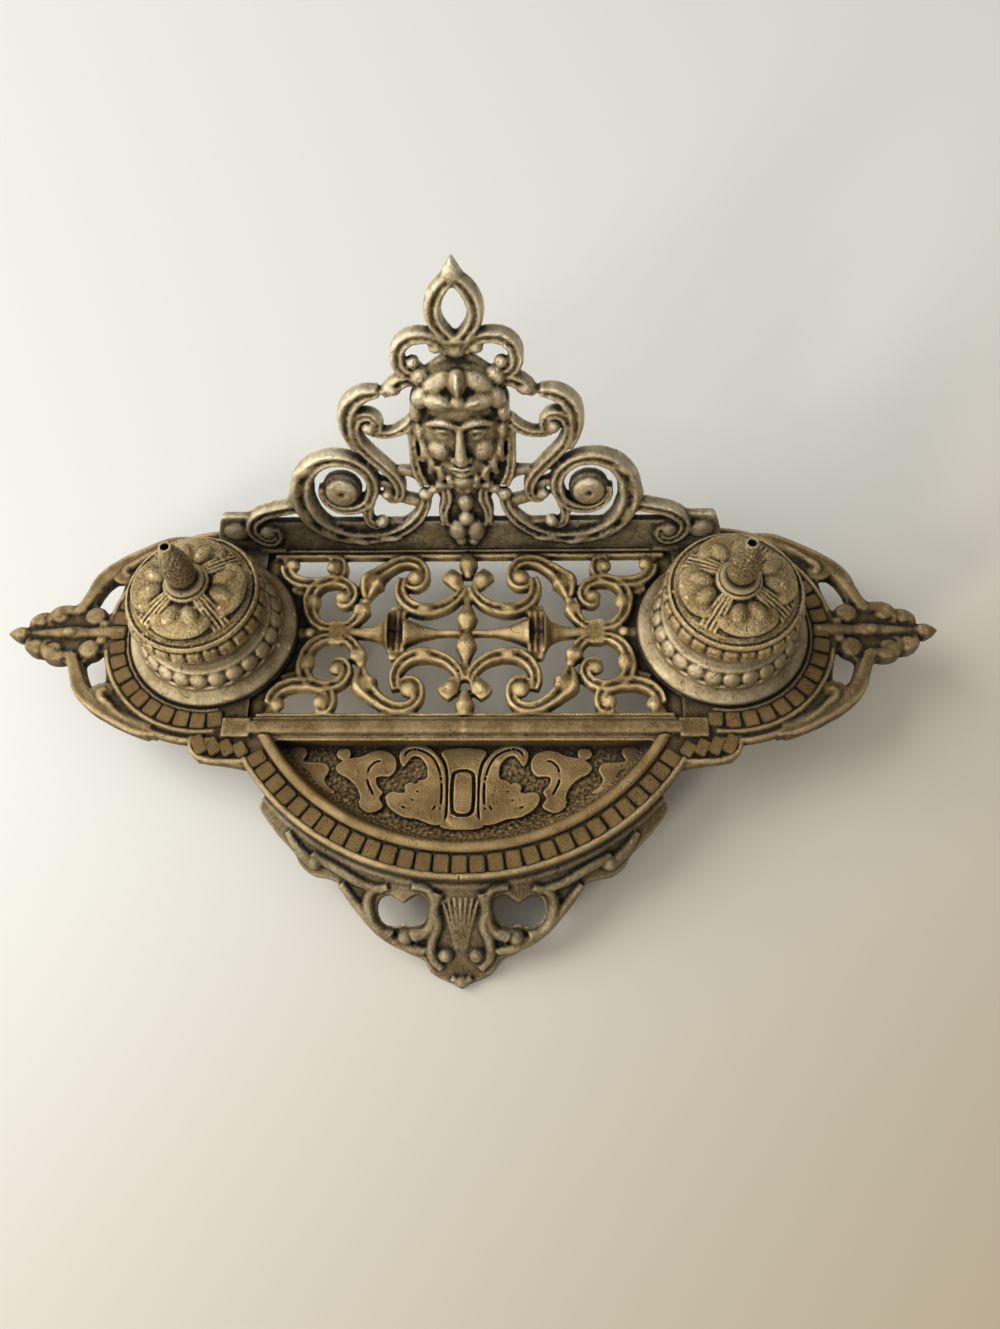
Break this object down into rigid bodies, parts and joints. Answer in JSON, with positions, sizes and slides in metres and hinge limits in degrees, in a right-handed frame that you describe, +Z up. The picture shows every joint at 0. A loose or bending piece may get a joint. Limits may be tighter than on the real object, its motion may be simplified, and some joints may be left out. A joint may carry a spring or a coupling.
{
  "type": "desk inkstand",
  "caption": "Cast-brass double inkstand: pierced tray with two domed lidded wells, sunk pen dish, leaning pierced crest and pierced front foot.",
  "frame": {"origin": "bottom centre of the bounding box, on the table under the middle of the stand", "axes": "+X to the right along the stand, +Y to the back where the crest stands, +Z up"},
  "size_m": [0.3, 0.1672, 0.1213],
  "materials": {
    "tray_brass": "aged cast brass, worn bright on the high spots",
    "dish_brass": "aged cast brass with a granular ground",
    "lattice_brass": "aged cast brass, dark in the recesses",
    "crest_brass": "aged cast brass, greyer and paler",
    "well_brass": "aged brass, smooth and turned",
    "lid_brass": "aged cast brass with dark pits",
    "finial_brass": "rough cast brass on a polished collar",
    "fixings": "dull brass screws, washers and nuts",
    "glass": "clear pressed glass"
  },
  "bodies": {
    "stand": {"tray": "tray_brass", "pen_dish": "dish_brass", "lattice_panel": "lattice_brass", "front_foot": "tray_brass", "rear_foot_left": "tray_brass", "rear_foot_right": "tray_brass", "crest": "crest_brass", "crest_screws": "fixings", "well_left": "well_brass", "well_right": "well_brass", "well_screws": "fixings", "well_washers": "fixings"},
    "liner_left": {"liner_left": "glass"},
    "liner_right": {"liner_right": "glass"},
    "lid_left": {"lid_left": "lid_brass", "finial_left": "finial_brass", "finial_nut_left": "fixings"},
    "lid_right": {"lid_right": "lid_brass", "finial_right": "finial_brass", "finial_nut_right": "fixings"}
  },
  "joints": [
    {"name": "liner_left_lift", "type": "slide", "parent": "stand", "child": "liner_left", "axis": [0, 0, 1], "range_m": [0, 0.035]},
    {"name": "liner_right_lift", "type": "slide", "parent": "stand", "child": "liner_right", "axis": [0, 0, 1], "range_m": [0, 0.035]},
    {"name": "lid_left_lift", "type": "slide", "parent": "liner_left", "child": "lid_left", "axis": [0, 0, 1], "range_m": [0, 0.06]},
    {"name": "lid_right_lift", "type": "slide", "parent": "liner_right", "child": "lid_right", "axis": [0, 0, 1], "range_m": [0, 0.06]}
  ]
}
